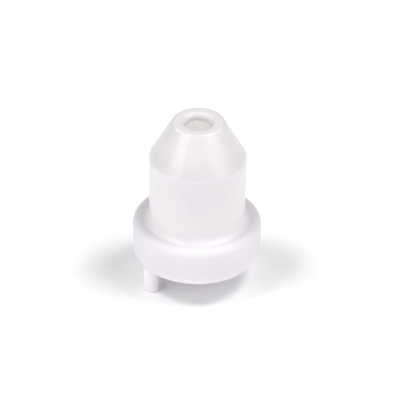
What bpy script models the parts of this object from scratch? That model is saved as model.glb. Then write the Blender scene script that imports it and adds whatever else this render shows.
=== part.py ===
"""Pneumatic muffler: a milky plastic cone-nosed housing screwed into a wide collar, with the silencing cartridge inside.

Air enters through the spigot under the collar, rises in the perforated core tube, spreads outward through the
silencing sleeve, and leaves through the baffle, the foam pad, the screen and the porous disc in the nose. All
lengths are in metres, +Z points from the spigot to the nose, and the origin is on the axis, level with the ends of spigot and pegs.
"""

import math

import bmesh
import bpy
from mathutils import Matrix, Vector

MM = 0.001

# Driving dimensions
COLLAR_RADIUS = 12.0 * MM
BARREL_RADIUS = 8.9 * MM
BARREL_TOP_RADIUS = 9.1 * MM
NOSE_RADIUS = 4.8 * MM
MOUTH_RADIUS = 2.5 * MM
SEAT_HEIGHT = 4.5 * MM  # underside of the collar: the length of the spigot and of the pegs' free ends
COLLAR_HEIGHT = 8.1 * MM
CONE_BASE = 26.1 * MM
NOSE_HEIGHT = 33.9 * MM
CAVITY_RADIUS = 7.1 * MM  # inside of the housing
CLEARANCE = 0.1 * MM  # between pieces that touch on the real object
ROUND_STEPS = 40  # sides of the large turned pieces
SMALL_STEPS = 24  # sides of the small ones

# Collar
COLLAR_TOP = SEAT_HEIGHT + COLLAR_HEIGHT
COLLAR_TOP_FILLET = 1.4 * MM
COLLAR_BOTTOM_FILLET = 2.2 * MM
COLLAR_FLOOR = SEAT_HEIGHT + 2.0 * MM
SOCKET_RADIUS = BARREL_RADIUS + CLEARANCE
SPIGOT_RADIUS = 3.8 * MM
SPIGOT_ROOT_FILLET = 0.5 * MM
INLET_BORE_RADIUS = 2.0 * MM
GROOVE_RADIUS = 3.0 * MM
GROOVE_LOW = 1.4 * MM
GROOVE_HIGH = 2.7 * MM
SCREEN_SEAT_RADIUS = 2.8 * MM  # counterbore that takes the inlet screen and the foot of the core tube
SCREEN_SEAT_FLOOR = 5.1 * MM

# Pegs: a wide free end and a thin shank that is pressed into the collar's wall
PEG_RADIUS = 1.5 * MM
PEG_CIRCLE = 10.1 * MM
PEG_SHANK_RADIUS = 0.8 * MM
PEG_SHOULDER = 5.4 * MM
PEG_TOP = 9.4 * MM

# Screw joint between the housing and the collar: one right-hand ridge on each
THREAD_PITCH = 1.5 * MM
THREAD_TURNS = 1.75
THREAD_HEIGHT = 0.7 * MM
THREAD_ROOT_HALF = 0.42 * MM
THREAD_CREST_HALF = 0.22 * MM
THREAD_SINK = 0.25 * MM  # how far a ridge runs into the wall that it stands on
THREAD_FADE = 4  # steps over which a ridge rises from its wall at each end
FOOT_RADIUS = 8.1 * MM
FOOT_END = 7.6 * MM
FOOT_SHOULDER = 12.0 * MM
SKIRT_RADIUS = 10.4 * MM  # the skirt rests on the collar and covers the edge of its socket
SKIRT_EDGE = 0.1 * MM
SKIRT_FILLET = 1.4 * MM
HOUSING_THREAD_START = 8.15 * MM
COLLAR_THREAD_START = HOUSING_THREAD_START + THREAD_PITCH / 2

# Housing
CONE_EDGE_FILLET = 1.0 * MM
NOSE_FILLET = 0.8 * MM
MOUTH_FILLET = 0.9 * MM
SCREEN_POCKET_RADIUS = 3.7 * MM
SCREEN_POCKET_TOP = 30.5 * MM
CONE_CEILING = 28.7 * MM
CONE_WALL = 1.9 * MM  # measured horizontally
SCREEN_LOW = 29.5 * MM
SCREEN_THICKNESS = 0.3 * MM
DIFFUSER_TOP = 32.6 * MM  # the porous disc ends a little below the mouth
RING_GROOVE_RADIUS = 7.6 * MM
RING_GROOVE_LOW = 24.0 * MM
RING_GROOVE_HIGH = 24.6 * MM

# Cartridge
TUBE_BORE_RADIUS = 2.0 * MM
TUBE_RADIUS = 2.7 * MM
TUBE_FOOT = 5.6 * MM
TUBE_TOP = 20.9 * MM
CARTRIDGE_BORE_RADIUS = TUBE_RADIUS + 0.15 * MM
SLEEVE_RADIUS = 5.8 * MM
SLEEVE_LOW = 8.3 * MM
SLEEVE_HIGH = 19.4 * MM
WRAP_INNER_RADIUS = 5.95 * MM
WRAP_RADIUS = 6.2 * MM
CAP_RIM_RADIUS = 6.3 * MM
CAP_RADIUS = 6.6 * MM
CAP_THICKNESS = 0.7 * MM
CAP_RIM_DEPTH = 1.0 * MM
LOWER_CAP_LOW = 7.45 * MM
UPPER_CAP_LOW = 20.25 * MM
PLUG_HEAD_RADIUS = 3.8 * MM
PLUG_HEAD_LOW = 21.1 * MM
PLUG_HEAD_HIGH = 22.1 * MM

FILLET_STEPS = 3
MERGE_DISTANCE = 1e-7
SHARP_ANGLE = math.radians(35)


def clear_scene():
    for obj in list(bpy.data.objects):
        bpy.data.objects.remove(obj, do_unlink=True)


def surface(name, colour, roughness, metallic=0.0, transmission=0.0):
    """A Principled material named after its use."""
    made = bpy.data.materials.new(name)
    made.use_nodes = True
    shader = made.node_tree.nodes["Principled BSDF"]
    shader.inputs["Base Color"].default_value = (*colour, 1.0)
    shader.inputs["Roughness"].default_value = roughness
    shader.inputs["Metallic"].default_value = metallic
    shader.inputs["Transmission Weight"].default_value = transmission
    made.diffuse_color = (*colour, 1.0)
    made.roughness = roughness
    made.metallic = metallic
    return made


def finish(name, bm, material):
    """Turns the bmesh into a smooth-shaded object with that material."""
    bmesh.ops.remove_doubles(bm, verts=bm.verts, dist=MERGE_DISTANCE)
    bmesh.ops.recalc_face_normals(bm, faces=bm.faces)
    mesh = bpy.data.meshes.new(name)
    bm.to_mesh(mesh)
    bm.free()
    mesh.shade_smooth()
    mesh.set_sharp_from_angle(angle=SHARP_ANGLE)
    if material:
        mesh.materials.append(material)
    obj = bpy.data.objects.new(name, mesh)
    bpy.context.scene.collection.objects.link(obj)
    return obj


def rounded(corners):
    """The closed outline through (radius, height, fillet) corners, with an arc at each corner that has a fillet."""
    points = []
    for index, (radius, height, fillet) in enumerate(corners):
        corner = Vector((radius, height))
        if not fillet:
            points.append(corner)
            continue
        back = (Vector(corners[index - 1][:2]) - corner).normalized()
        ahead = (Vector(corners[(index + 1) % len(corners)][:2]) - corner).normalized()
        half_angle = back.angle(ahead) / 2
        centre = corner + (back + ahead).normalized() * fillet / math.sin(half_angle)
        start = corner + back * fillet / math.tan(half_angle) - centre
        end = corner + ahead * fillet / math.tan(half_angle) - centre
        turn = math.atan2(start.cross(end), start.dot(end))
        for step in range(FILLET_STEPS + 1):
            points.append(centre + Matrix.Rotation(turn * step / FILLET_STEPS, 2) @ start)
    return points


def turned(name, corners, steps, material=None):
    """A solid of revolution about Z. An outline may start and end on the axis."""
    bm = bmesh.new()
    verts = [bm.verts.new((point.x, 0, point.y)) for point in rounded(corners)]
    pairs = zip(verts, verts[1:] + verts[:1])
    edges = [bm.edges.new(pair) for pair in pairs if max(pair[0].co.x, pair[1].co.x) > MERGE_DISTANCE]
    bmesh.ops.spin(
        bm, geom=verts + edges, axis=(0, 0, 1), cent=(0, 0, 0), angle=math.tau, steps=steps, use_merge=True
    )
    return finish(name, bm, material)


def washer(name, inner, outer, low, high, material, fillet=0.0, steps=SMALL_STEPS):
    """A ring of rectangular section, or a disc when inner is 0."""
    hole_fillet = fillet if inner else 0.0
    corners = [(inner, low, hole_fillet), (outer, low, fillet), (outer, high, fillet), (inner, high, hole_fillet)]
    return turned(name, corners, steps, material)


def o_ring(name, radius, section_radius, height, material):
    """A ring of round section, centred on that radius and height."""
    bm = bmesh.new()
    section = bmesh.ops.create_circle(bm, segments=8, radius=section_radius)["verts"]
    upright = Matrix.Translation((radius, 0, height)) @ Matrix.Rotation(math.pi / 2, 4, "X")
    bmesh.ops.transform(bm, matrix=upright, verts=section)
    bmesh.ops.spin(
        bm, geom=bm.verts[:] + bm.edges[:], axis=(0, 0, 1), cent=(0, 0, 0),
        angle=math.tau, steps=SMALL_STEPS, use_merge=True,
    )
    return finish(name, bm, material)


def thread_ridge(name, root, outward, start_height):
    """One right-hand thread ridge that stands on the wall at radius root, and fades into it at both ends."""
    steps = round(THREAD_TURNS * ROUND_STEPS)
    flank = (THREAD_ROOT_HALF - THREAD_CREST_HALF) / THREAD_HEIGHT
    bm = bmesh.new()
    sections = []
    for step in range(steps + 1):
        height = start_height + THREAD_PITCH * step / ROUND_STEPS
        share = min(1.0, step / THREAD_FADE, (steps - step) / THREAD_FADE)
        rise = THREAD_HEIGHT * share - THREAD_SINK / 2 * (1 - share)
        crest_half = THREAD_ROOT_HALF - flank * rise
        sunk_half = THREAD_ROOT_HALF + flank * THREAD_SINK
        turn = Matrix.Rotation(math.tau * step / ROUND_STEPS, 3, "Z")
        corners = [
            (root - outward * THREAD_SINK, -sunk_half),
            (root + outward * rise, -crest_half),
            (root + outward * rise, crest_half),
            (root - outward * THREAD_SINK, sunk_half),
        ]
        sections.append([bm.verts.new(turn @ Vector((radius, 0, height + side))) for radius, side in corners])
    for low, high in zip(sections, sections[1:]):
        for index in range(4):
            after = (index + 1) % 4
            bm.faces.new((low[index], low[after], high[after], high[index]))
    bm.faces.new(sections[0])
    bm.faces.new(sections[-1])
    return finish(name, bm, None)


def pins(name, places, radius, length, sides=6):
    """Straight round pins as one cutter. Each place is the matrix that puts a pin's middle and its axis."""
    bm = bmesh.new()
    for place in places:
        bmesh.ops.create_cone(
            bm, cap_ends=True, segments=sides, radius1=radius, radius2=radius, depth=length, matrix=place
        )
    return finish(name, bm, None)


def square_bars(name, pitch, side, reach, height, depth):
    """Upright square bars on a grid inside the radius reach, as one cutter."""
    bm = bmesh.new()
    count = math.ceil(reach / pitch)
    for column in range(-count, count + 1):
        for row in range(-count, count + 1):
            centre = Vector((column * pitch, row * pitch, height))
            if centre.xy.length + side / math.sqrt(2) > reach:
                continue
            place = Matrix.Translation(centre) @ Matrix.Diagonal((side, side, depth, 1))
            bmesh.ops.create_cube(bm, size=1, matrix=place)
    return finish(name, bm, None)


def combine(target, tool, operation):
    """Adds a live Boolean, and hides its tool."""
    tool.hide_render = True
    tool.display_type = "WIRE"
    modifier = target.modifiers.new(tool.name, "BOOLEAN")
    modifier.operation = operation
    modifier.object = tool


def cut(target, tool):
    combine(target, tool, "DIFFERENCE")


def add(target, tool):
    combine(target, tool, "UNION")


def radial_places(radius, low, high, rows, columns):
    """Places for radial pins: rows at even heights, every second row turned by half a column."""
    for row in range(rows):
        height = low + (high - low) * row / (rows - 1)
        for column in range(columns):
            angle = math.tau * (column + (row % 2) / 2) / columns
            yield (
                Matrix.Rotation(angle, 4, "Z")
                @ Matrix.Translation((radius, 0, height))
                @ Matrix.Rotation(math.pi / 2, 4, "Y")
            )


def upright_places(height, rings):
    """Places for upright pins: rings of (radius, count), one pin for a count of 1 at radius 0."""
    for radius, count in rings:
        for index in range(count):
            angle = math.tau * index / count
            yield Matrix.Translation((radius * math.cos(angle), radius * math.sin(angle), height))


def collar_base(material):
    """The wide collar with its socket and floor, and the spigot with its bore and seal groove."""
    chamfer = 0.4 * MM
    corners = [
        (INLET_BORE_RADIUS, 0, 0),
        (SPIGOT_RADIUS - chamfer, 0, 0),
        (SPIGOT_RADIUS, chamfer, 0),
        (SPIGOT_RADIUS, GROOVE_LOW, 0),
        (GROOVE_RADIUS, GROOVE_LOW, 0),
        (GROOVE_RADIUS, GROOVE_HIGH, 0),
        (SPIGOT_RADIUS, GROOVE_HIGH, 0),
        (SPIGOT_RADIUS, SEAT_HEIGHT, SPIGOT_ROOT_FILLET),
        (COLLAR_RADIUS, SEAT_HEIGHT, COLLAR_BOTTOM_FILLET),
        (COLLAR_RADIUS, COLLAR_TOP, COLLAR_TOP_FILLET),
        (SOCKET_RADIUS, COLLAR_TOP, 0),
        (SOCKET_RADIUS, COLLAR_FLOOR, 0),
        (SCREEN_SEAT_RADIUS, COLLAR_FLOOR, 0),
        (SCREEN_SEAT_RADIUS, SCREEN_SEAT_FLOOR, 0),
        (INLET_BORE_RADIUS, SCREEN_SEAT_FLOOR, 0),
    ]
    base = turned("collar_base", corners, ROUND_STEPS, material)
    add(base, thread_ridge("collar_thread", SOCKET_RADIUS, -1, COLLAR_THREAD_START))
    seats = [Matrix.Translation((side * PEG_CIRCLE, 0, PEG_SHOULDER + CLEARANCE - 2 * MM)) for side in (-1, 1)]
    cut(base, pins("peg_seats", seats, PEG_RADIUS + CLEARANCE, 4 * MM, SMALL_STEPS))
    shanks = [Matrix.Translation((side * PEG_CIRCLE, 0, PEG_TOP + CLEARANCE - 3 * MM)) for side in (-1, 1)]
    cut(base, pins("peg_shank_holes", shanks, PEG_SHANK_RADIUS + CLEARANCE, 6 * MM, 16))
    return base


def locating_pegs(material):
    """Two stepped pegs beside the spigot, which stop the muffler from turning in its seat."""
    tip_fillet = 0.25 * MM
    corners = [
        (0, 0, 0),
        (PEG_RADIUS, 0, tip_fillet),
        (PEG_RADIUS, PEG_SHOULDER, 0),
        (PEG_SHANK_RADIUS, PEG_SHOULDER, 0),
        (PEG_SHANK_RADIUS, PEG_TOP, 0),
        (0, PEG_TOP, 0),
    ]
    left = turned("locating_peg_left", corners, SMALL_STEPS, material)
    right = bpy.data.objects.new("locating_peg_right", left.data)
    bpy.context.scene.collection.objects.link(right)
    left.location.x = -PEG_CIRCLE
    right.location.x = PEG_CIRCLE
    return [left, right]


def cone_inner_radius(height):
    """Inside radius of the cone, which keeps CONE_WALL to its outside."""
    slope = (BARREL_TOP_RADIUS - NOSE_RADIUS) / (NOSE_HEIGHT - CONE_BASE)
    return BARREL_TOP_RADIUS - slope * (height - CONE_BASE) - CONE_WALL


def nose_housing(material):
    """The barrel and cone in one shell, with a threaded foot, a skirt, a snap ring groove and the outlet bore."""
    skirt_low = COLLAR_TOP + CLEARANCE
    corners = [
        (CAVITY_RADIUS, FOOT_END, 0),
        (FOOT_RADIUS, FOOT_END, 0.2 * MM),
        (FOOT_RADIUS, FOOT_SHOULDER, 0),
        (BARREL_RADIUS, FOOT_SHOULDER, 0.15 * MM),
        (BARREL_RADIUS, skirt_low, 0),
        (SKIRT_RADIUS, skirt_low, 0),
        (SKIRT_RADIUS, skirt_low + SKIRT_EDGE, 0),
        (BARREL_RADIUS, skirt_low + SKIRT_EDGE, SKIRT_FILLET),
        (BARREL_TOP_RADIUS, CONE_BASE, CONE_EDGE_FILLET),
        (NOSE_RADIUS, NOSE_HEIGHT, NOSE_FILLET),
        (MOUTH_RADIUS, NOSE_HEIGHT, MOUTH_FILLET),
        (MOUTH_RADIUS, SCREEN_POCKET_TOP, 0),
        (SCREEN_POCKET_RADIUS, SCREEN_POCKET_TOP, 0),
        (SCREEN_POCKET_RADIUS, CONE_CEILING, 0),
        (cone_inner_radius(CONE_CEILING), CONE_CEILING, 0),
        (CAVITY_RADIUS, CONE_BASE, 0),
        (CAVITY_RADIUS, RING_GROOVE_HIGH, 0),
        (RING_GROOVE_RADIUS, RING_GROOVE_HIGH, 0),
        (RING_GROOVE_RADIUS, RING_GROOVE_LOW, 0),
        (CAVITY_RADIUS, RING_GROOVE_LOW, 0),
    ]
    housing = turned("nose_housing", corners, ROUND_STEPS, material)
    add(housing, thread_ridge("housing_thread", FOOT_RADIUS, 1, HOUSING_THREAD_START))
    return housing


def wire_screen(name, radius, low, thickness, material):
    """A round woven screen, as a disc with square openings."""
    screen = washer(name, 0, radius, low, low + thickness, material)
    pitch = 0.8 * MM
    opening = 0.5 * MM
    rim = 0.3 * MM
    cut(screen, square_bars(name + "_openings", pitch, opening, radius - rim, low + thickness / 2, 2 * thickness))
    return screen


def core_tube(material):
    """The tube that the cartridge is stacked on, with rows of radial holes."""
    tube = washer("core_tube", TUBE_BORE_RADIUS, TUBE_RADIUS, TUBE_FOOT, TUBE_TOP, material)
    middle = (TUBE_BORE_RADIUS + TUBE_RADIUS) / 2
    margin = 1.4 * MM
    holes = radial_places(middle, SLEEVE_LOW + margin, SLEEVE_HIGH - margin, rows=5, columns=6)
    cut(tube, pins("core_tube_holes", holes, 0.5 * MM, 1.6 * MM))
    return tube


def sleeve_wrap(material):
    """A thin perforated tube that holds the sleeve's fibres."""
    low = SLEEVE_LOW
    high = SLEEVE_HIGH + 0.2 * MM
    wrap = washer("sleeve_wrap", WRAP_INNER_RADIUS, WRAP_RADIUS, low, high, material)
    middle = (WRAP_INNER_RADIUS + WRAP_RADIUS) / 2
    margin = 2.3 * MM
    holes = radial_places(middle, low + margin, high - margin, rows=4, columns=10)
    cut(wrap, pins("sleeve_wrap_holes", holes, 0.75 * MM, 1.2 * MM))
    return wrap


def end_cap(name, plate_low, rim_direction, material):
    """A dished disc round the core tube, with a rim that holds the sleeve and its wrap in place."""
    plate_high = plate_low + CAP_THICKNESS
    inside, outside = (plate_high, plate_low) if rim_direction > 0 else (plate_low, plate_high)
    rim_end = inside + rim_direction * CAP_RIM_DEPTH
    corners = [
        (CARTRIDGE_BORE_RADIUS, outside, 0),
        (CAP_RADIUS, outside, 0.2 * MM),
        (CAP_RADIUS, rim_end, 0),
        (CAP_RIM_RADIUS, rim_end, 0),
        (CAP_RIM_RADIUS, inside, 0),
        (CARTRIDGE_BORE_RADIUS, inside, 0),
    ]
    return turned(name, corners, SMALL_STEPS, material)


def core_plug(material):
    """The plug that closes the core tube and clamps the stack."""
    shank_low = PLUG_HEAD_LOW - 2 * MM
    shank_radius = TUBE_BORE_RADIUS - 1.5 * CLEARANCE
    corners = [
        (0, shank_low, 0),
        (shank_radius, shank_low, 0.3 * MM),
        (shank_radius, PLUG_HEAD_LOW, 0),
        (PLUG_HEAD_RADIUS, PLUG_HEAD_LOW, 0),
        (PLUG_HEAD_RADIUS, PLUG_HEAD_HIGH, 0.5 * MM),
        (0, PLUG_HEAD_HIGH, 0),
    ]
    return turned("core_plug", corners, SMALL_STEPS, material)


def outlet_baffle(material):
    """The perforated disc that spreads the flow before the foam pad."""
    low = RING_GROOVE_HIGH + CLEARANCE
    high = low + 0.9 * MM
    baffle = washer("outlet_baffle", 0, CAVITY_RADIUS - CLEARANCE, low, high, material, steps=ROUND_STEPS)
    holes = upright_places((low + high) / 2, [(0, 1), (2.6 * MM, 6), (5.2 * MM, 12)])
    cut(baffle, pins("outlet_baffle_holes", holes, 0.7 * MM, 3 * MM))
    return baffle


def snap_ring(material):
    """The split ring in the housing's groove, which holds the baffle and the pad."""
    low = RING_GROOVE_LOW + CLEARANCE
    high = RING_GROOVE_HIGH - CLEARANCE
    ring = washer("baffle_snap_ring", 6.4 * MM, RING_GROOVE_RADIUS - CLEARANCE, low, high, material, steps=ROUND_STEPS)
    gap = Matrix.Translation((0, -CAVITY_RADIUS, (low + high) / 2)) @ Matrix.Diagonal(
        (2.4 * MM, 3 * MM, 2 * MM, 1)
    )
    bm = bmesh.new()
    bmesh.ops.create_cube(bm, size=1, matrix=gap)
    cut(ring, finish("snap_ring_gap", bm, None))
    return ring


def foam_pad(material):
    """The tapered pad that fills the cone under the outlet screen."""
    low = RING_GROOVE_HIGH + 1.2 * MM
    high = CONE_CEILING - 1.5 * CLEARANCE
    gap = 2 * CLEARANCE
    corners = [
        (0, low, 0),
        (CAVITY_RADIUS - gap, low, 0.2 * MM),
        (cone_inner_radius(CONE_BASE) - gap, CONE_BASE, 0),
        (cone_inner_radius(high) - gap, high, 0.2 * MM),
        (0, high, 0),
    ]
    return turned("outlet_foam_pad", corners, SMALL_STEPS, material)


def outlet_diffuser(material):
    """The porous disc in the outlet bore, held by its flange between the screen and the bore's shoulder."""
    low = SCREEN_LOW + SCREEN_THICKNESS + CLEARANCE
    corners = [
        (0, low, 0),
        (SCREEN_POCKET_RADIUS - CLEARANCE, low, 0),
        (SCREEN_POCKET_RADIUS - CLEARANCE, SCREEN_POCKET_TOP - CLEARANCE, 0),
        (MOUTH_RADIUS - CLEARANCE, SCREEN_POCKET_TOP - CLEARANCE, 0),
        (MOUTH_RADIUS - CLEARANCE, DIFFUSER_TOP, 0.15 * MM),
        (0, DIFFUSER_TOP, 0),
    ]
    return turned("outlet_diffuser", corners, SMALL_STEPS, material)


def group(name, members):
    """An empty on the screw axis that carries the pieces of one moving body."""
    pivot = bpy.data.objects.new(name, None)
    bpy.context.scene.collection.objects.link(pivot)
    for member in members:
        member.parent = pivot


def main():
    clear_scene()
    milky = surface("milky_nylon", (0.86, 0.83, 0.86), 0.32, transmission=0.1)
    black_rubber = surface("seal_rubber", (0.03, 0.03, 0.03), 0.6)
    steel = surface("screen_steel", (0.6, 0.6, 0.62), 0.35, metallic=1.0)
    felt = surface("wool_felt", (0.72, 0.69, 0.62), 0.95)
    porous = surface("porous_polyethylene", (0.88, 0.88, 0.84), 0.8)
    warm_porous = surface("warm_porous_polyethylene", (0.84, 0.78, 0.75), 0.8)
    white = surface("cartridge_plastic", (0.75, 0.77, 0.8), 0.45)
    foam = surface("open_cell_foam", (0.78, 0.76, 0.7), 0.9)

    base_pieces = [
        collar_base(milky),
        *locating_pegs(milky),
        o_ring("spigot_o_ring", 3.65 * MM, 0.5 * MM, (GROOVE_LOW + GROOVE_HIGH) / 2, black_rubber),
        wire_screen("inlet_screen", SCREEN_SEAT_RADIUS - CLEARANCE, SCREEN_SEAT_FLOOR + CLEARANCE, 0.3 * MM, steel),
        core_tube(white),
        washer("lower_felt_washer", CARTRIDGE_BORE_RADIUS, CAP_RADIUS, COLLAR_FLOOR + CLEARANCE,
               LOWER_CAP_LOW - CLEARANCE, felt),
        end_cap("lower_end_cap", LOWER_CAP_LOW, 1, white),
        washer("silencing_sleeve", CARTRIDGE_BORE_RADIUS, SLEEVE_RADIUS, SLEEVE_LOW, SLEEVE_HIGH, porous),
        sleeve_wrap(steel),
        washer("upper_felt_washer", CARTRIDGE_BORE_RADIUS, SLEEVE_RADIUS, SLEEVE_HIGH + CLEARANCE,
               UPPER_CAP_LOW - CLEARANCE, felt),
        end_cap("upper_end_cap", UPPER_CAP_LOW, -1, white),
        core_plug(white),
    ]
    seal_pieces = [o_ring("housing_seal_ring", 7.65 * MM, 0.45 * MM, COLLAR_FLOOR + 0.55 * MM, black_rubber)]
    housing_pieces = [
        nose_housing(milky),
        outlet_diffuser(warm_porous),
        wire_screen("outlet_screen", SCREEN_POCKET_RADIUS - CLEARANCE, SCREEN_LOW, SCREEN_THICKNESS, steel),
        washer("screen_retaining_ring", MOUTH_RADIUS, SCREEN_POCKET_RADIUS - CLEARANCE, CONE_CEILING + CLEARANCE,
               SCREEN_LOW - CLEARANCE, white),
        foam_pad(foam),
        outlet_baffle(white),
        snap_ring(steel),
    ]
    group("base", base_pieces)
    group("seal", seal_pieces)
    group("housing", housing_pieces)


main()
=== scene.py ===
"""Looks of the pneumatic muffler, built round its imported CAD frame.

Lengths are in metres, in the CAD's own frame. Each piece stands in for one CAD node.
"""

import math

import bmesh
import bpy
from mathutils import Matrix, Vector, noise


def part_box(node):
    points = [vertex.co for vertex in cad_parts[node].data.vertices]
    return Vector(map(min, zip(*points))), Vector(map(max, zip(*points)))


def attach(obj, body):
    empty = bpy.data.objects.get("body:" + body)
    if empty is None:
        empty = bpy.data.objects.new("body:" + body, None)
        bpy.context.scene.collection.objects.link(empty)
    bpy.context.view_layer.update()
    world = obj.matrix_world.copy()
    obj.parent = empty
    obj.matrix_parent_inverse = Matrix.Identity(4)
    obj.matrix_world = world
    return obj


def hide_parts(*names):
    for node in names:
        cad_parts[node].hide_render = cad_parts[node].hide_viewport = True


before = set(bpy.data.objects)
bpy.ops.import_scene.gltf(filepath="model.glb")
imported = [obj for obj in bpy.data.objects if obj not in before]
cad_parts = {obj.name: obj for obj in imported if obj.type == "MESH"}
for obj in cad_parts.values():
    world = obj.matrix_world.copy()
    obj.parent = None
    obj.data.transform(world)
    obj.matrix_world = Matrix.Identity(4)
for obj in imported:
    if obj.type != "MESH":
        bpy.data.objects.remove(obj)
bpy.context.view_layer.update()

MM = 0.001

# The outside. The frame gives the outer sizes, and what no box shows is named as in the CAD.
_, COLLAR_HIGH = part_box("collar_base")
HOUSING_LOW, HOUSING_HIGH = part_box("nose_housing")
PEG_LOW, PEG_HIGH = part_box("locating_peg_right")

COLLAR_RADIUS = COLLAR_HIGH.x
COLLAR_TOP = COLLAR_HIGH.z
NOSE_HEIGHT = HOUSING_HIGH.z
FOOT_END = HOUSING_LOW.z
BARREL_TOP_RADIUS = 9.1 * MM
BARREL_RADIUS = 8.9 * MM
SKIRT_RADIUS = 10.4 * MM
SKIRT_FILLET = 1.4 * MM
SKIRT_EDGE = 0.03 * MM
SKIRT_GAP = 0.015 * MM
NOSE_RADIUS = 4.8 * MM
MOUTH_RADIUS = 2.5 * MM
SEAT_HEIGHT = 4.5 * MM
CONE_BASE = 26.1 * MM
CAVITY_RADIUS = 7.1 * MM
CLEARANCE = 0.1 * MM

# Collar and spigot
COLLAR_TOP_FILLET = 1.4 * MM
COLLAR_BOTTOM_FILLET = 2.2 * MM
COLLAR_FLOOR = 6.5 * MM
SOCKET_GAP = 0.015 * MM  # the CAD has CLEARANCE here, which would show as a dark seam
SOCKET_RADIUS = BARREL_RADIUS + SOCKET_GAP
SPIGOT_RADIUS = 3.8 * MM
SPIGOT_ROOT_FILLET = 0.5 * MM
INLET_BORE_RADIUS = 2.0 * MM
GROOVE_RADIUS = 3.0 * MM
GROOVE_LOW = 1.4 * MM
GROOVE_HIGH = 2.7 * MM
SCREEN_SEAT_RADIUS = 2.8 * MM
SCREEN_SEAT_FLOOR = 5.1 * MM

# Pegs
PEG_RADIUS = (PEG_HIGH.x - PEG_LOW.x) / 2
PEG_CIRCLE = (PEG_HIGH.x + PEG_LOW.x) / 2
PEG_TOP = PEG_HIGH.z
PEG_SHANK_RADIUS = 0.8 * MM
PEG_SHOULDER = 5.4 * MM
PEG_SEAT_CUT = 4 * MM
PEG_SHANK_CUT = 6 * MM

# Screw joint: the thread, and the housing's foot that carries it
THREAD_PITCH = 1.5 * MM
THREAD_TURNS = 1.75
THREAD_HEIGHT = 0.68 * MM
THREAD_ROOT_HALF = 0.42 * MM
THREAD_CREST_HALF = 0.22 * MM
THREAD_FADE = math.radians(36)
FOOT_RADIUS = 8.1 * MM
FOOT_SHOULDER = 12.0 * MM
HOUSING_THREAD_START = 8.15 * MM
COLLAR_THREAD_START = HOUSING_THREAD_START + THREAD_PITCH / 2

# Cone, and the inside of the housing
CONE_EDGE_FILLET = 1.0 * MM
NOSE_FILLET = 0.8 * MM
MOUTH_FILLET = 0.9 * MM
SCREEN_POCKET_RADIUS = 3.7 * MM
SCREEN_POCKET_TOP = 30.5 * MM
CONE_CEILING = 28.7 * MM
CONE_WALL = 1.9 * MM
RING_GROOVE_RADIUS = 7.6 * MM
RING_GROOVE_LOW = 24.0 * MM
RING_GROOVE_HIGH = 24.6 * MM

# Loose parts: ring, disc, cartridge, screens and seals
SNAP_RING_RADIUS = 7.0 * MM
SNAP_RING_INNER_RADIUS = 6.4 * MM
SNAP_RING_GAP_HALF = 1.2 * MM
DIFFUSER_DISH = 0.35 * MM
DIFFUSER_GAP = 0.01 * MM
CARTRIDGE_BORE_RADIUS = 2.85 * MM
TUBE_BORE_RADIUS = 2.0 * MM
WRAP_INNER_RADIUS = 5.95 * MM
CAP_RIM_RADIUS = 6.3 * MM
CAP_THICKNESS = 0.7 * MM
PLUG_HEAD_LOW = 21.1 * MM
PLUG_SHANK_RADIUS = 1.85 * MM
SCREEN_PITCH = 0.4 * MM
SCREEN_WIRE_RADIUS = 0.075 * MM
SCREEN_RIM = 0.3 * MM
WEAVE_SHARE = 0.9  # how far a wire swings, as a share of its radius
O_RING_SECTION = 0.5 * MM
SEAL_RING_SECTION = 0.45 * MM

# Edges that share a rounding
EDGE_FILLET = 0.1 * MM
FINE_FILLET = 0.08 * MM

# Light under the nylon's surface, and the heights between which it fades out near a joint
SCATTERING = 0.85
COLLAR_FADE = (COLLAR_TOP - 3.0 * MM, COLLAR_TOP - 1.0 * MM)
BARREL_FADE = (COLLAR_TOP + 3.0 * MM, COLLAR_TOP + 7.0 * MM)
NOSE_FADE = (27.5 * MM, SCREEN_POCKET_TOP)

# Shade painted on the cone: its colour is a little darker than the barrel's, from the edge between
# them up
CONE_PAINTED_SHADE = 0.955
CONE_PAINTED_SHADE_RANGE = (CONE_BASE - 0.3 * MM, CONE_BASE + 0.5 * MM)

# Nylon surfaces: how strongly they reflect, and their range of roughness
MATT = {"gloss": 0.2, "roughness": (0.45, 0.55)}
SATIN = {"gloss": 0.35, "roughness": (0.19, 0.25)}

# Mesh fineness
ROUND_STEPS = 160
INNER_STEPS = 96
FILLET_STEPS = 8
THREAD_ROWS = 64
SOCKET_THREAD_ROWS = 84
WIRE_SIDES = 6
WIRE_STEPS = 4
TOLERANCE = 1e-7  # points closer than this are in one place
SHARP_ANGLE = math.radians(32)

# Camera and light, measured from the object, with angles in degrees
CAMERA_AZIMUTH = -34.0
CAMERA_ELEVATION = 34.2
CAMERA_DISTANCE = 1.0
CAMERA_ROLL = 0.85
CAMERA_LENS = 482.4  # in millimetres, as Blender gives a lens
AIM_HEIGHT = 16.5 * MM
AIM_RIGHT = 0.5 * MM
AIM_UP = -0.14 * MM
LIGHT_DISTANCE = 0.6
ROOM_LIGHT = 0.02
TABLE_HALF = 0.34

# Softboxes: name, azimuth from the camera's, elevation, width, height, radiance
SOFTBOXES = (
    ("left_key", -75, 66, 0.16, 0.12, 15.6),
    ("right_key", 87, 66, 0.24, 0.16, 11.3),
    ("left_box", -55, 27, 0.36, 0.3, 3.7),
    ("right_box", 56, 27, 0.48, 0.34, 2.25),
    ("left_side", -106, 41, 0.3, 0.36, 2.9),
    ("right_side", 108, 44, 0.3, 0.34, 2.8),
    ("front_fill", 0, 9, 0.4, 0.2, 4.1),
)


# ---------------------------------------------------------------- shapes

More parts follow.
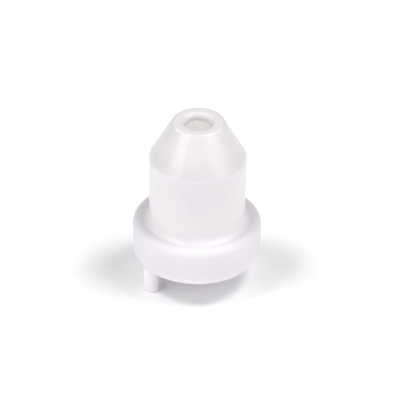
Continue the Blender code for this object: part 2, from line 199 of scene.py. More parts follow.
def rounded(corners):
    """The closed outline through (radius, height, fillet) corners. A fillet becomes an arc."""
    points = []
    for index, (radius, height, fillet) in enumerate(corners):
        corner = Vector((radius, height))
        if not fillet:
            points.append(corner)
            continue
        back = (Vector(corners[index - 1][:2]) - corner).normalized()
        ahead = (Vector(corners[(index + 1) % len(corners)][:2]) - corner).normalized()
        half_angle = back.angle(ahead) / 2
        centre = corner + (back + ahead).normalized() * fillet / math.sin(half_angle)
        start = corner + back * fillet / math.tan(half_angle) - centre
        end = corner + ahead * fillet / math.tan(half_angle) - centre
        turn = math.atan2(start.cross(end), start.dot(end))
        for step in range(FILLET_STEPS + 1):
            points.append(centre + Matrix.Rotation(turn * step / FILLET_STEPS, 2) @ start)
    return points


def divided(points, longest):
    """The closed outline with extra points, so that no stretch off the axis is longer than that."""
    finer = []
    for here, after in zip(points, points[1:] + points[:1]):
        on_axis = max(here.x, after.x) < TOLERANCE
        count = 1 if on_axis else max(1, math.ceil((after - here).length / longest))
        finer += [here.lerp(after, step / count) for step in range(count)]
    return finer


def finish(name, bm):
    """Turns the bmesh into a smooth-shaded object whose faces point out."""
    bmesh.ops.recalc_face_normals(bm, faces=bm.faces)
    mesh = bpy.data.meshes.new(name)
    bm.to_mesh(mesh)
    bm.free()
    mesh.shade_smooth()
    mesh.set_sharp_from_angle(angle=SHARP_ANGLE)
    obj = bpy.data.objects.new(name, mesh)
    bpy.context.scene.collection.objects.link(obj)
    return obj


def turned(name, outline, steps=ROUND_STEPS, rise=None, gap=0.0):
    """A solid of revolution about Z.

    rise(angle, point) adds to a point's radius. gap leaves that angle open, at -Y.
    """
    closed = not gap
    columns = steps if closed else steps + 1
    span = math.tau - gap
    start = 0.0 if closed else -math.pi / 2
    angles = [span * column / steps + gap / 2 + start for column in range(columns)]
    bm = bmesh.new()
    rings = []
    for point in outline:
        if point.x < TOLERANCE:
            rings.append([bm.verts.new((0, 0, point.y))] * columns)
            continue
        radii = [point.x + (rise(angle, point) if rise else 0.0) for angle in angles]
        rings.append([
            bm.verts.new((radius * math.cos(angle), radius * math.sin(angle), point.y))
            for radius, angle in zip(radii, angles)
        ])
    for low, high in zip(rings, rings[1:] + rings[:1]):
        for column in range(steps):
            after = (column + 1) % columns
            around = dict.fromkeys((low[column], low[after], high[after], high[column]))
            if len(around) > 2:
                bm.faces.new(list(around))
    if not closed:
        bm.faces.new([ring[0] for ring in rings])
        bm.faces.new([ring[-1] for ring in rings])
    return finish(name, bm)


def thread_rise(angle, height, start):
    """How far a right-hand thread's ridge stands out of its wall there. It fades at both ends."""
    best = 0.0
    for turn in range(math.ceil(THREAD_TURNS) + 1):
        along = angle % math.tau + math.tau * turn
        fade = min(1.0, along / THREAD_FADE, (math.tau * THREAD_TURNS - along) / THREAD_FADE)
        if fade <= 0:
            continue
        away = abs(height - start - THREAD_PITCH * along / math.tau)
        flank = (THREAD_ROOT_HALF - away) / (THREAD_ROOT_HALF - THREAD_CREST_HALF)
        share = min(1.0, max(0.0, flank))
        best = max(best, fade * THREAD_HEIGHT * share * share * (3 - 2 * share))
    return best


def threaded(points, radius, rows=THREAD_ROWS):
    """The outline with rows of extra points on its longest upright stretch at that radius."""
    pairs = list(zip(points, points[1:] + points[:1]))
    upright = [
        pair for pair in pairs if all(abs(point.x - radius) < TOLERANCE for point in pair)
    ]
    longest = max(upright, key=lambda pair: (pair[1] - pair[0]).length)
    finer = []
    for pair in pairs:
        count = rows if pair is longest else 1
        finer += [pair[0].lerp(pair[1], step / count) for step in range(count)]
    return finer


def ring_section(radius, height, section, steps=24, flash=0.0):
    """A round section, with a slight moulding flash on its equator."""
    points = []
    for step in range(steps):
        angle = math.tau * step / steps
        size = section - flash * (1 - abs(math.cos(angle)) ** 12)
        points.append(Vector((radius + size * math.cos(angle), height + size * math.sin(angle))))
    return points


def box_outline(inner, outer, low, high, fillet):
    """A ring's rectangular section with rounded corners, or a disc's when inner is 0."""
    hole = fillet if inner else 0.0
    return rounded([
        (inner, low, hole), (outer, low, fillet),
        (outer, high, fillet), (inner, high, hole),
    ])


def roughened(obj, depth, size, seed):
    """Moves the surface inward by noise, so that it stays within its box."""
    mesh = obj.data
    offset = Vector((seed, seed * 2, seed * 3))
    moves = []
    for vertex in mesh.vertices:
        value = noise.fractal(vertex.co / size + offset, 1.0, 2.0, 3)
        moves.append(vertex.normal * -depth * min(1.0, max(0.0, 0.5 + value)))
    for vertex, move in zip(mesh.vertices, moves):
        vertex.co += move
    mesh.shade_smooth()
    return obj


def pins(name, places, radius, length, sides=24):
    """Straight round pins as one cutter. Each place is a pin's matrix, about its middle."""
    bm = bmesh.new()
    for place in places:
        bmesh.ops.create_cone(
            bm, cap_ends=True, segments=sides,
            radius1=radius, radius2=radius, depth=length, matrix=place,
        )
    return finish(name, bm)


def cut(obj, tool):
    """Cuts the tool out of the object's mesh, and deletes the tool."""
    modifier = obj.modifiers.new("cut", "BOOLEAN")
    modifier.object = tool
    graph = bpy.context.evaluated_depsgraph_get()
    graph.update()
    carved = bpy.data.meshes.new_from_object(obj.evaluated_get(graph))
    obj.modifiers.clear()
    obj.data = carved
    carved.set_sharp_from_angle(angle=SHARP_ANGLE)
    bpy.data.objects.remove(tool)
    return obj


def radial_places(radius, low, high, rows, columns):
    """Places for radial pins: rows at even heights, every second row turned by half a column."""
    for row in range(rows):
        height = low + (high - low) * row / (rows - 1)
        for column in range(columns):
            angle = math.tau * (column + (row % 2) / 2) / columns
            yield (
                Matrix.Rotation(angle, 4, "Z")
                @ Matrix.Translation((radius, 0, height))
                @ Matrix.Rotation(math.pi / 2, 4, "Y")
            )


def upright_places(height, rings):
    """Places for upright pins: rings of (radius, count)."""
    for radius, count in rings:
        for index in range(count):
            angle = math.tau * index / count
            yield Matrix.Translation((radius * math.cos(angle), radius * math.sin(angle), height))


# ---------------------------------------------------------------- materials

def new_material(name, colour, roughness, **constants):
    """A Principled material. Returns it with its node tree and shader."""
    made = bpy.data.materials.new(name)
    made.use_nodes = True
    shader = made.node_tree.nodes["Principled BSDF"]
    shader.inputs["Base Color"].default_value = (*colour, 1.0)
    shader.inputs["Roughness"].default_value = roughness
    for socket, value in constants.items():
        shader.inputs[socket.replace("_", " ")].default_value = value
    return made, made.node_tree, shader


def object_noise(tree, per_metre, detail=2.0, stretch=(1, 1, 1)):
    """A noise pattern fixed to the object, with that many cells to the metre. Returns its value."""
    place = tree.nodes.new("ShaderNodeTexCoord")
    scale = tree.nodes.new("ShaderNodeMapping")
    scale.inputs["Scale"].default_value = stretch
    pattern = tree.nodes.new("ShaderNodeTexNoise")
    pattern.inputs["Scale"].default_value = per_metre
    pattern.inputs["Detail"].default_value = detail
    tree.links.new(place.outputs["Object"], scale.inputs["Vector"])
    tree.links.new(scale.outputs["Vector"], pattern.inputs["Vector"])
    return pattern.outputs["Fac"]


def object_cells(tree, per_metre, feature="F1"):
    """A cell pattern fixed to the object. Returns the distance from each cell's centre."""
    place = tree.nodes.new("ShaderNodeTexCoord")
    pattern = tree.nodes.new("ShaderNodeTexVoronoi")
    pattern.feature = feature
    pattern.inputs["Scale"].default_value = per_metre
    tree.links.new(place.outputs["Object"], pattern.inputs["Vector"])
    return pattern.outputs["Distance"]


def height_ramp(tree, stops):
    """A value that runs evenly between (height, value) stops, lowest first, up the object."""
    place = tree.nodes.new("ShaderNodeTexCoord")
    parts = tree.nodes.new("ShaderNodeSeparateXYZ")
    ramp = tree.nodes.new("ShaderNodeValToRGB")
    elements = ramp.color_ramp.elements
    while len(elements) < len(stops):
        elements.new(1.0)
    for element, (height, value) in zip(elements, stops):
        element.position = height / NOSE_HEIGHT
        element.color = (value, value, value, 1)
    tree.links.new(place.outputs["Object"], parts.inputs["Vector"])
    share = spread(tree, parts.outputs["Z"], 0.0, 1.0, 0.0, NOSE_HEIGHT)
    tree.links.new(share, ramp.inputs["Fac"])
    return ramp.outputs["Color"]


def spread(tree, value, low, high, from_low=0.3, from_high=0.7):
    """The value, stretched from its usual range to low..high."""
    node = tree.nodes.new("ShaderNodeMapRange")
    node.inputs["From Min"].default_value = from_low
    node.inputs["From Max"].default_value = from_high
    node.inputs["To Min"].default_value = low
    node.inputs["To Max"].default_value = high
    tree.links.new(value, node.inputs["Value"])
    return node.outputs["Result"]


def tint(tree, shader, value, dark, light, from_low=0.3, from_high=0.7):
    """Colours the shader from dark to light as the value rises."""
    ramp = tree.nodes.new("ShaderNodeValToRGB")
    ramp.color_ramp.elements[0].position = from_low
    ramp.color_ramp.elements[0].color = (*dark, 1)
    ramp.color_ramp.elements[1].position = from_high
    ramp.color_ramp.elements[1].color = (*light, 1)
    tree.links.new(value, ramp.inputs["Fac"])
    tree.links.new(ramp.outputs["Color"], shader.inputs["Base Color"])


def dim(tree, shader, value):
    """Multiplies the shader's colour by the value, which paints shade into it."""
    colour = shader.inputs["Base Color"]
    node = tree.nodes.new("ShaderNodeVectorMath")
    node.operation = "MULTIPLY"
    tree.links.new(colour.links[0].from_socket, node.inputs[0])
    tree.links.new(value, node.inputs[1])
    tree.links.new(node.outputs["Vector"], colour)


def bump(tree, shader, layers):
    """Stacks bump layers of (height value, distance in metres, strength) on the shader."""
    below = None
    for height, distance, strength in layers:
        node = tree.nodes.new("ShaderNodeBump")
        node.inputs["Distance"].default_value = distance
        node.inputs["Strength"].default_value = strength
        tree.links.new(height, node.inputs["Height"])
        if below:
            tree.links.new(below, node.inputs["Normal"])
        below = node.outputs["Normal"]
    tree.links.new(below, shader.inputs["Normal"])


def milky_nylon(name, dark, light, gloss, roughness, scattering=(), shade=()):
    """Natural nylon: cloudy white, finely grained, with light scattered under the surface.

    scattering lists (height, share) stops. It fades out near joints, because the light would
    get lost in the gaps there. shade lists (height, brightness) stops of shade painted into the
    colour.
    """
    made, tree, shader = new_material(
        name, light, 0.3, IOR=1.5, Specular_IOR_Level=gloss, Subsurface_Weight=SCATTERING,
        Subsurface_Scale=1.0 * MM, Subsurface_Radius=(1.0, 0.94, 0.97), Subsurface_Anisotropy=0.2,
    )
    if scattering:
        tree.links.new(height_ramp(tree, scattering), shader.inputs["Subsurface Weight"])
    cloud = object_noise(tree, 170, 3.0)
    tint(tree, shader, cloud, dark, light)
    # Painted shade: the colour darkens up the object by these stops.
    if shade:
        dim(tree, shader, height_ramp(tree, shade))
    sheen = object_noise(tree, 900, 2.0)
    tree.links.new(spread(tree, sheen, *roughness), shader.inputs["Roughness"])
    flow = object_noise(tree, 260, 1.0, (1, 1, 0.5))
    grain = object_noise(tree, 2600, 2.0)
    bump(tree, shader, [(flow, 0.03 * MM, 0.4), (grain, 0.0015 * MM, 0.5)])
    return made


def black_rubber():
    """Nitrile rubber: nearly black, dull, with a faint bloom."""
    made, tree, shader = new_material("nitrile_rubber", (0.02, 0.02, 0.022), 0.55, IOR=1.52)
    bloom = object_noise(tree, 700, 4.0)
    tint(tree, shader, bloom, (0.012, 0.012, 0.013), (0.035, 0.035, 0.037))
    tree.links.new(spread(tree, bloom, 0.45, 0.68), shader.inputs["Roughness"])
    grain = object_noise(tree, 9000, 2.0)
    bump(tree, shader, [(grain, 0.01 * MM, 0.6)])
    return made


def steel(name, colour, streaks):
    """Stainless steel with drawing marks that follow streaks, the stretch of the pattern."""
    made, tree, shader = new_material(name, colour, 0.3, Metallic=1.0)
    marks = object_noise(tree, 2600, 3.0, streaks)
    dark = tuple(value * 0.8 for value in colour)
    tint(tree, shader, marks, dark, colour)
    tree.links.new(spread(tree, marks, 0.3, 0.45), shader.inputs["Roughness"])
    bump(tree, shader, [(marks, 0.006 * MM, 0.5)])
    return made


def wool_felt():
    """Pressed felt: matted fibres over a soft, uneven body."""
    made, tree, shader = new_material(
        "wool_felt", (0.7, 0.67, 0.6), 0.95, Sheen_Weight=0.5, Sheen_Roughness=0.6
    )
    fibres = object_noise(tree, 4200, 6.0, (1, 0.3, 2.2))
    crossing = object_noise(tree, 3800, 5.0, (0.3, 1, 1.8))
    tint(tree, shader, fibres, (0.5, 0.47, 0.4), (0.82, 0.8, 0.74))
    bump(tree, shader, [(crossing, 0.06 * MM, 0.8), (fibres, 0.08 * MM, 0.8)])
    return made


def porous_plastic(name, bead_colour, pore_painted_shade):
    """Sintered polyethylene: fused beads, with shade painted into the pores between them."""
    made, tree, shader = new_material(name, bead_colour, 0.7)
    beads = object_cells(tree, 3200)
    # The pores are painted darker as shade in the recesses.
    tint(tree, shader, beads, bead_colour, pore_painted_shade, 0.35, 0.85)
    grain = object_noise(tree, 9000, 3.0)
    inverse = spread(tree, beads, 1.0, 0.0, 0.0, 0.9)
    bump(tree, shader, [(inverse, 0.12 * MM, 0.9), (grain, 0.02 * MM, 0.5)])
    return made


def satin_plastic():
    """Moulded plastic of the cartridge: cool white with a satin grain."""
    made, tree, shader = new_material(
        "cartridge_plastic", (0.74, 0.76, 0.79), 0.42,
        Subsurface_Weight=0.2, Subsurface_Scale=0.5 * MM,
    )
    cloud = object_noise(tree, 300, 3.0)
    tint(tree, shader, cloud, (0.68, 0.7, 0.735), (0.78, 0.8, 0.825))
    tree.links.new(spread(tree, cloud, 0.36, 0.5), shader.inputs["Roughness"])
    grain = object_noise(tree, 6500, 2.0)
    bump(tree, shader, [(grain, 0.01 * MM, 0.6)])
    return made


def filter_foam():
    """Open-cell foam: cream struts round deep cells, with shade painted into the cells."""
    made, tree, shader = new_material("filter_foam", (0.78, 0.76, 0.7), 0.9, Sheen_Weight=0.2)
    cells = object_cells(tree, 1900, "DISTANCE_TO_EDGE")
    # The cells darken towards their middles: painted shade in the holes.
    tint(tree, shader, cells, (0.82, 0.8, 0.74), (0.45, 0.42, 0.35), 0.04, 0.22)
    deep = spread(tree, cells, 1.0, 0.0, 0.0, 0.3)
    grain = object_noise(tree, 7000, 3.0)
    bump(tree, shader, [(deep, 0.25 * MM, 1.0), (grain, 0.02 * MM, 0.5)])
    return made


# ---------------------------------------------------------------- pieces

def dress(obj, body, node, material):
    """Puts the piece on its CAD body, in place of its CAD node, with its material."""
    obj.data.materials.clear()
    obj.data.materials.append(material)
    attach(obj, body)
    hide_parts(node)
    return obj


def collar_piece():
    """The collar with its threaded socket, the spigot and its groove, and the seats of the pegs."""
    corners = [
        (INLET_BORE_RADIUS, 0, 0.15 * MM),
        (SPIGOT_RADIUS - 0.4 * MM, 0, EDGE_FILLET),
        (SPIGOT_RADIUS, 0.4 * MM, EDGE_FILLET),
        (SPIGOT_RADIUS, GROOVE_LOW, FINE_FILLET),
        (GROOVE_RADIUS, GROOVE_LOW, FINE_FILLET),
        (GROOVE_RADIUS, GROOVE_HIGH, FINE_FILLET),
        (SPIGOT_RADIUS, GROOVE_HIGH, FINE_FILLET),
        (SPIGOT_RADIUS, SEAT_HEIGHT, SPIGOT_ROOT_FILLET),
        (COLLAR_RADIUS, SEAT_HEIGHT, COLLAR_BOTTOM_FILLET),
        (COLLAR_RADIUS, COLLAR_TOP, COLLAR_TOP_FILLET),
        (SOCKET_RADIUS, COLLAR_TOP, 0.03 * MM),
        (SOCKET_RADIUS, COLLAR_FLOOR, EDGE_FILLET),
        (SCREEN_SEAT_RADIUS, COLLAR_FLOOR, EDGE_FILLET),
        (SCREEN_SEAT_RADIUS, SCREEN_SEAT_FLOOR, 0),
        (INLET_BORE_RADIUS, SCREEN_SEAT_FLOOR, EDGE_FILLET),
    ]

    def rise(angle, point):
        on_wall = abs(point.x - SOCKET_RADIUS) < TOLERANCE and COLLAR_FLOOR < point.y < COLLAR_TOP
        return -thread_rise(angle, point.y, COLLAR_THREAD_START) if on_wall else 0.0

    outline = threaded(rounded(corners), SOCKET_RADIUS, SOCKET_THREAD_ROWS)
    piece = turned("collar", outline, ROUND_STEPS, rise)
    for name, radius, top, length, sides in (
        ("peg_seats", PEG_RADIUS, PEG_SHOULDER, PEG_SEAT_CUT, 48),
        ("peg_shank_holes", PEG_SHANK_RADIUS, PEG_TOP, PEG_SHANK_CUT, 32),
    ):
        middle = top + CLEARANCE - length / 2
        places = [Matrix.Translation((side * PEG_CIRCLE, 0, middle)) for side in (-1, 1)]
        cut(piece, pins(name, places, radius + CLEARANCE, length, sides))
    return piece


def peg_piece(name, side):
    """A stepped peg: a wide free end with a rounded tip, and a thin shank."""
    corners = [
        (0, 0, 0),
        (PEG_RADIUS, 0, 0.25 * MM),
        (PEG_RADIUS, PEG_SHOULDER, EDGE_FILLET),
        (PEG_SHANK_RADIUS, PEG_SHOULDER, EDGE_FILLET),
        (PEG_SHANK_RADIUS, PEG_TOP, 0.2 * MM),
        (0, PEG_TOP, 0),
    ]
    piece = turned(name, rounded(corners), 64)
    piece.data.transform(Matrix.Translation((side * PEG_CIRCLE, 0, 0)))
    return piece


def cone_inner_radius(height):
    """Inside radius of the cone, which keeps CONE_WALL to its outside."""
    slope = (BARREL_TOP_RADIUS - NOSE_RADIUS) / (NOSE_HEIGHT - CONE_BASE)
    return BARREL_TOP_RADIUS - slope * (height - CONE_BASE) - CONE_WALL


def housing_piece():
    """The barrel and cone, with a threaded foot and a skirt over the collar's edge.

    Inside it has the snap ring's groove, the cone's ceiling, the screen's pocket and the bore.
    """
    skirt_low = COLLAR_TOP + SKIRT_GAP
    corners = [
        (CAVITY_RADIUS, FOOT_END, EDGE_FILLET),
        (FOOT_RADIUS, FOOT_END, 0.2 * MM),
        (FOOT_RADIUS, FOOT_SHOULDER, EDGE_FILLET),
        (BARREL_RADIUS, FOOT_SHOULDER, 0.15 * MM),
        (BARREL_RADIUS, skirt_low, 0),
        (SKIRT_RADIUS, skirt_low, 0),
        (SKIRT_RADIUS, skirt_low + SKIRT_EDGE, 0),
        (BARREL_RADIUS, skirt_low + SKIRT_EDGE, SKIRT_FILLET),
        (BARREL_TOP_RADIUS, CONE_BASE, CONE_EDGE_FILLET),
        (NOSE_RADIUS, NOSE_HEIGHT, NOSE_FILLET),
        (MOUTH_RADIUS, NOSE_HEIGHT, MOUTH_FILLET),
        (MOUTH_RADIUS, SCREEN_POCKET_TOP, EDGE_FILLET),
        (SCREEN_POCKET_RADIUS, SCREEN_POCKET_TOP, 0),
        (SCREEN_POCKET_RADIUS, CONE_CEILING, EDGE_FILLET),
        (cone_inner_radius(CONE_CEILING), CONE_CEILING, 0.2 * MM),
        (CAVITY_RADIUS, CONE_BASE, 0.5 * MM),
        (CAVITY_RADIUS, RING_GROOVE_HIGH, 0),
        (RING_GROOVE_RADIUS, RING_GROOVE_HIGH, 0),
        (RING_GROOVE_RADIUS, RING_GROOVE_LOW, 0),
        (CAVITY_RADIUS, RING_GROOVE_LOW, 0),
    ]

    def rise(angle, point):
        on_wall = abs(point.x - FOOT_RADIUS) < TOLERANCE and FOOT_END < point.y < FOOT_SHOULDER
        return thread_rise(angle, point.y, HOUSING_THREAD_START) if on_wall else 0.0

    return turned("housing", threaded(rounded(corners), FOOT_RADIUS), ROUND_STEPS, rise)


def simple_ring(node, inner, fillet, longest=0.0, steps=INNER_STEPS, gap=0.0):
    """A washer, disc, tube or split ring that fills its CAD node's box. gap is an open angle."""
    low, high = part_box(node)
    outline = box_outline(inner, high.x, low.z, high.z, fillet)
    if longest:
        outline = divided(outline, longest)
    return turned(node + "_piece", outline, steps, gap=gap)


def round_ring(node, section):
    """An O-ring that fills its CAD node's box."""
    low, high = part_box(node)
    outline = ring_section(high.x - section, (low.z + high.z) / 2, section, flash=0.02 * MM)
    return turned(node + "_piece", outline, INNER_STEPS)


def add_wire(bm, index, across, reach, middle):
    """Adds the wire with that index to a plain weave. across is 0 or 1 for the two directions.

    The wire runs over and under those it crosses, out to a circle of radius reach.
    """
    aside = index * SCREEN_PITCH
    half = math.sqrt(reach * reach - aside * aside)
    steps = max(2, round(2 * half / SCREEN_PITCH * WIRE_STEPS))
    sections = []
    for step in range(steps + 1):
        along = -half + 2 * half * step / steps
        wave = math.cos(math.pi * (along / SCREEN_PITCH + index + across))
        lift = SCREEN_WIRE_RADIUS * wave
        ring = []
        for side in range(WIRE_SIDES):
            angle = math.tau * side / WIRE_SIDES
            sideways = aside + SCREEN_WIRE_RADIUS * math.cos(angle)
            place = (along, sideways) if across else (sideways, along)
            height = middle + lift * WEAVE_SHARE + SCREEN_WIRE_RADIUS * math.sin(angle)
            ring.append(bm.verts.new((*place, height)))
        sections.append(ring)
    for first, second in zip(sections, sections[1:]):
        for side in range(WIRE_SIDES):
            after = (side + 1) % WIRE_SIDES
            bm.faces.new((first[side], first[after], second[after], second[side]))
    bm.faces.new(sections[0])
    bm.faces.new(sections[-1])


def woven_screen(node):
    """Plain-woven wires in a pressed rim, which fill their CAD node's box."""
    low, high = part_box(node)
    radius = high.x
    reach = radius - SCREEN_RIM / 2
    count = int(reach / SCREEN_PITCH)
    bm = bmesh.new()
    for across in (0, 1):
        for index in range(-count, count + 1):
            add_wire(bm, index, across, reach, (low.z + high.z) / 2)
    wires = finish(node + "_piece", bm)
    rim = box_outline(radius - SCREEN_RIM, radius, low.z, high.z, 0.06 * MM)
    return joined(wires, turned(node + "_rim", rim, INNER_STEPS))


def joined(first, second):
    """One object with both meshes."""
    bm = bmesh.new()
    bm.from_mesh(first.data)
    bm.from_mesh(second.data)
    name = first.name
    bpy.data.objects.remove(first)
    bpy.data.objects.remove(second)
    return finish(name, bm)


def tube_piece():
    """The core tube, with rows of round holes along the sleeve."""
    low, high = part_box("silencing_sleeve")
    piece = simple_ring("core_tube", TUBE_BORE_RADIUS, FINE_FILLET)
    middle, hole_radius, cut_length = 2.35 * MM, 0.5 * MM, 1.6 * MM
    margin = 1.4 * MM
    holes = radial_places(middle, low.z + margin, high.z - margin, rows=5, columns=6)
    return cut(piece, pins("core_tube_holes", holes, hole_radius, cut_length))


def wrap_piece():
    """The perforated wrap round the sleeve."""
    low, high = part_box("sleeve_wrap")
    piece = simple_ring("sleeve_wrap", WRAP_INNER_RADIUS, 0.03 * MM)
    middle, hole_radius, cut_length = 6.075 * MM, 0.75 * MM, 1.2 * MM
    margin = 2.3 * MM
    holes = radial_places(middle, low.z + margin, high.z - margin, rows=4, columns=10)
    return cut(piece, pins("sleeve_wrap_holes", holes, hole_radius, cut_length))


def cap_piece(node, rim_direction):
    """A dished end cap that fills its CAD node's box. Its rim points up (1) or down (-1)."""
    low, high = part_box(node)
    outside, rim_end = (low.z, high.z) if rim_direction > 0 else (high.z, low.z)
    inside = outside + rim_direction * CAP_THICKNESS
    corners = [
        (CARTRIDGE_BORE_RADIUS, outside, FINE_FILLET),
        (high.x, outside, 0.2 * MM),
        (high.x, rim_end, FINE_FILLET),
        (CAP_RIM_RADIUS, rim_end, FINE_FILLET),
        (CAP_RIM_RADIUS, inside, FINE_FILLET),
        (CARTRIDGE_BORE_RADIUS, inside, FINE_FILLET),
    ]
    return turned(node + "_piece", rounded(corners), INNER_STEPS)


def plug_piece():
    """The plug, with a round-edged head on a straight shank."""
    low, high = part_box("core_plug")
    corners = [
        (0, low.z, 0),
        (PLUG_SHANK_RADIUS, low.z, 0.3 * MM),
        (PLUG_SHANK_RADIUS, PLUG_HEAD_LOW, FINE_FILLET),
        (high.x, PLUG_HEAD_LOW, EDGE_FILLET),
        (high.x, high.z, 0.5 * MM),
        (0, high.z, 0),
    ]
    return turned("core_plug_piece", rounded(corners), INNER_STEPS)


def baffle_piece():
    """The baffle disc with its rings of holes."""
    low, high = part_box("outlet_baffle")
    piece = simple_ring("outlet_baffle", 0, 0.12 * MM)
    hole_radius, cut_length = 0.7 * MM, 3 * MM
    holes = upright_places((low.z + high.z) / 2, [(0, 1), (2.6 * MM, 6), (5.2 * MM, 12)])
    return cut(piece, pins("outlet_baffle_holes", holes, hole_radius, cut_length))


def diffuser_piece():
    """The porous disc in the bore, with a shallow flat-bottomed dish and a flange that holds it."""
    low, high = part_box("outlet_diffuser")
    edge = MOUTH_RADIUS - DIFFUSER_GAP
    shoulder = SCREEN_POCKET_TOP - CLEARANCE
    flat = 0.55 * edge
    dish = high.z - DIFFUSER_DISH
    corners = [
        (0, low.z, 0),
        (high.x, low.z, EDGE_FILLET),
        (high.x, shoulder, EDGE_FILLET),
        (edge, shoulder, EDGE_FILLET),
        (edge, high.z, 0.03 * MM),
        (flat, dish, 0.8 * MM),
        (0, dish, 0),
    ]
    piece = turned("outlet_diffuser_piece", divided(rounded(corners), 0.15 * MM), INNER_STEPS)
    return roughened(piece, 0.03 * MM, 0.3 * MM, seed=7)


def foam_piece():
    """The tapered foam pad, pitted all over."""
    low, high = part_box("outlet_foam_pad")
    gap = 2 * CLEARANCE
    corners = [
        (0, low.z, 0),
        (high.x, low.z, 0.2 * MM),
        (cone_inner_radius(CONE_BASE) - gap, CONE_BASE, 0.2 * MM),
        (cone_inner_radius(high.z) - gap, high.z, 0.2 * MM),
        (0, high.z, 0),
    ]
    piece = turned("outlet_foam_pad_piece", divided(rounded(corners), 0.2 * MM), ROUND_STEPS)
    return roughened(piece, 0.14 * MM, 0.45 * MM, seed=3)


def make_base():
    """The pieces that ride on the base, and the seal ring. Returns two materials to use again."""
    fade = list(zip(COLLAR_FADE, (SCATTERING, 0)))
    nylon = milky_nylon(
        "collar_nylon", dark=(0.705, 0.68, 0.715), light=(0.72, 0.695, 0.73),
        scattering=fade, **MATT,
    )
    # The pegs' nylon is a lighter copy of the collar's: painted light that makes up for the shade
    # under the collar.
    peg_nylon = milky_nylon(
        "peg_nylon", dark=(0.78, 0.752, 0.782), light=(0.795, 0.768, 0.798), **MATT
    )
    rubber = black_rubber()
    plastic = satin_plastic()
    felt = wool_felt()
    wire = steel("screen_wire", (0.62, 0.62, 0.64), (1, 1, 1))
    dress(collar_piece(), "base", "collar_base", nylon)
    dress(peg_piece("peg_left", -1), "base", "locating_peg_left", peg_nylon)
    dress(peg_piece("peg_right", 1), "base", "locating_peg_right", peg_nylon)
    o_ring = round_ring("spigot_o_ring", O_RING_SECTION)
    dress(o_ring, "base", "spigot_o_ring", rubber)
    dress(woven_screen("inlet_screen"), "base", "inlet_screen", wire)
    dress(tube_piece(), "base", "core_tube", plastic)
    for node, seed in (("lower_felt_washer", 5), ("upper_felt_washer", 9)):
        washer = simple_ring(node, CARTRIDGE_BORE_RADIUS, 0.15 * MM, 0.16 * MM, ROUND_STEPS)
        dress(roughened(washer, 0.06 * MM, 0.5 * MM, seed), "base", node, felt)
    for node, rim_direction in (("lower_end_cap", 1), ("upper_end_cap", -1)):
        dress(cap_piece(node, rim_direction), "base", node, plastic)
    sleeve = simple_ring(
        "silencing_sleeve", CARTRIDGE_BORE_RADIUS, 0.15 * MM, 0.22 * MM, ROUND_STEPS
    )
    roughened(sleeve, 0.05 * MM, 0.35 * MM, seed=2)
    # The second colour is shade painted into the pores.
    beads = porous_plastic("porous_sleeve", (0.9, 0.9, 0.87), (0.52, 0.52, 0.48))
    dress(sleeve, "base", "silencing_sleeve", beads)
    wrap_steel = steel("wrap_sheet", (0.6, 0.6, 0.62), (1, 1, 0.1))
    dress(wrap_piece(), "base", "sleeve_wrap", wrap_steel)
    dress(plug_piece(), "base", "core_plug", plastic)
    seal = round_ring("housing_seal_ring", SEAL_RING_SECTION)
    dress(seal, "seal", "housing_seal_ring", rubber)
    return wire, plastic


def make_housing(wire, plastic):
    """The pieces that ride on the housing."""
    fade = list(zip(BARREL_FADE + NOSE_FADE, (0, SCATTERING, SCATTERING, 0)))
    # The housing's colour has shade painted on the cone.
    nylon = milky_nylon(
        "housing_nylon", dark=(0.712, 0.687, 0.712), light=(0.727, 0.703, 0.727),
        scattering=fade, shade=list(zip(CONE_PAINTED_SHADE_RANGE, (1.0, CONE_PAINTED_SHADE))), **SATIN,
    )
    dress(housing_piece(), "housing", "nose_housing", nylon)
    # The second colour is shade painted into the pores.
    disc = porous_plastic("porous_disc", (0.66, 0.632, 0.616), (0.612, 0.575, 0.558))
    dress(diffuser_piece(), "housing", "outlet_diffuser", disc)
    dress(woven_screen("outlet_screen"), "housing", "outlet_screen", wire)
    ring = simple_ring("screen_retaining_ring", MOUTH_RADIUS, EDGE_FILLET)
    dress(ring, "housing", "screen_retaining_ring", plastic)
    dress(foam_piece(), "housing", "outlet_foam_pad", filter_foam())
    dress(baffle_piece(), "housing", "outlet_baffle", plastic)
    spring = steel("ring_steel", (0.44, 0.44, 0.46), (0.2, 0.2, 2))
    opening = 2 * math.asin(SNAP_RING_GAP_HALF / SNAP_RING_RADIUS)
    snap = simple_ring("baffle_snap_ring", SNAP_RING_INNER_RADIUS, FINE_FILLET, gap=opening)
    dress(snap, "housing", "baffle_snap_ring", spring)


# ---------------------------------------------------------------- studio

def facing(place, target):
    """The rotation that turns a camera or light at the place towards the target."""
    return (target - place).to_track_quat("-Z", "Y")


def direction(azimuth, elevation):
    """From the object towards a camera or light at that azimuth and elevation, in degrees."""
    a, e = math.radians(azimuth), math.radians(elevation)
    return Vector((math.sin(a) * math.cos(e), -math.cos(a) * math.cos(e), math.sin(e)))


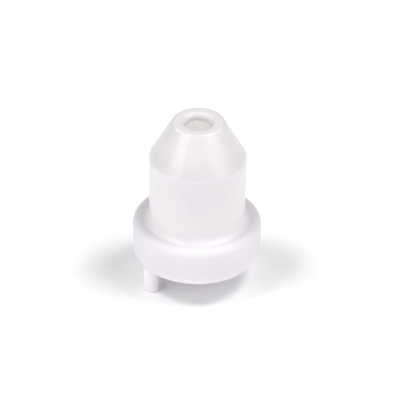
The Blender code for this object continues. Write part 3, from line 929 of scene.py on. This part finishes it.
def softbox(name, azimuth, elevation, width, height, radiance):
    """A rectangular area light that faces the object."""
    lamp = bpy.data.lights.new(name, "AREA")
    lamp.shape = "RECTANGLE"
    lamp.size = width
    lamp.size_y = height
    lamp.energy = radiance * width * height * math.pi
    obj = bpy.data.objects.new(name, lamp)
    bpy.context.scene.collection.objects.link(obj)
    target = Vector((0, 0, AIM_HEIGHT))
    obj.location = target + direction(azimuth, elevation) * LIGHT_DISTANCE
    obj.rotation_mode = "QUATERNION"
    obj.rotation_quaternion = facing(obj.location, target)


def make_floor():
    """A white table that ends inside the ring of lights."""
    bm = bmesh.new()
    bmesh.ops.create_grid(bm, x_segments=1, y_segments=1, size=TABLE_HALF)
    floor = finish("floor", bm)
    made, tree, shader = new_material("white_table", (0.96, 0.955, 0.962), 0.6)
    fibre = object_noise(tree, 900, 2.0)
    tint(tree, shader, fibre, (0.955, 0.95, 0.957), (0.965, 0.96, 0.967))
    floor.data.materials.append(made)


def make_light():
    """Softboxes in a dark room.

    The backdrop past the table is white for the camera, but gives hardly any light.
    """
    world = bpy.data.worlds.new("studio")
    world.use_nodes = True
    tree = world.node_tree
    backdrop = tree.nodes["Background"]
    backdrop.inputs["Color"].default_value = (1, 1, 1, 1)
    ray = tree.nodes.new("ShaderNodeLightPath")
    seen = spread(tree, ray.outputs["Is Camera Ray"], ROOM_LIGHT, 1.0, 0.0, 1.0)
    tree.links.new(seen, backdrop.inputs["Strength"])
    bpy.context.scene.world = world
    for name, azimuth, *rest in SOFTBOXES:
        softbox(name, CAMERA_AZIMUTH + azimuth, *rest)
    bpy.context.scene.view_settings.view_transform = "Standard"


def make_camera():
    """A long lens that looks down at the object from its front left."""
    lens = bpy.data.cameras.new("camera")
    lens.lens = CAMERA_LENS
    camera = bpy.data.objects.new("camera", lens)
    bpy.context.scene.collection.objects.link(camera)
    look = Vector((0, 0, AIM_HEIGHT))
    back = direction(CAMERA_AZIMUTH, CAMERA_ELEVATION)
    right = Vector((0, 0, 1)).cross(back).normalized()
    aim = look + right * AIM_RIGHT + back.cross(right) * AIM_UP
    camera.location = aim + back * CAMERA_DISTANCE
    camera.rotation_mode = "QUATERNION"
    roll = Matrix.Rotation(math.radians(CAMERA_ROLL), 3, "Z").to_quaternion()
    camera.rotation_quaternion = facing(camera.location, aim) @ roll
    bpy.context.scene.camera = camera


make_camera()
make_light()
make_floor()
wire_steel, cartridge_plastic = make_base()
make_housing(wire_steel, cartridge_plastic)
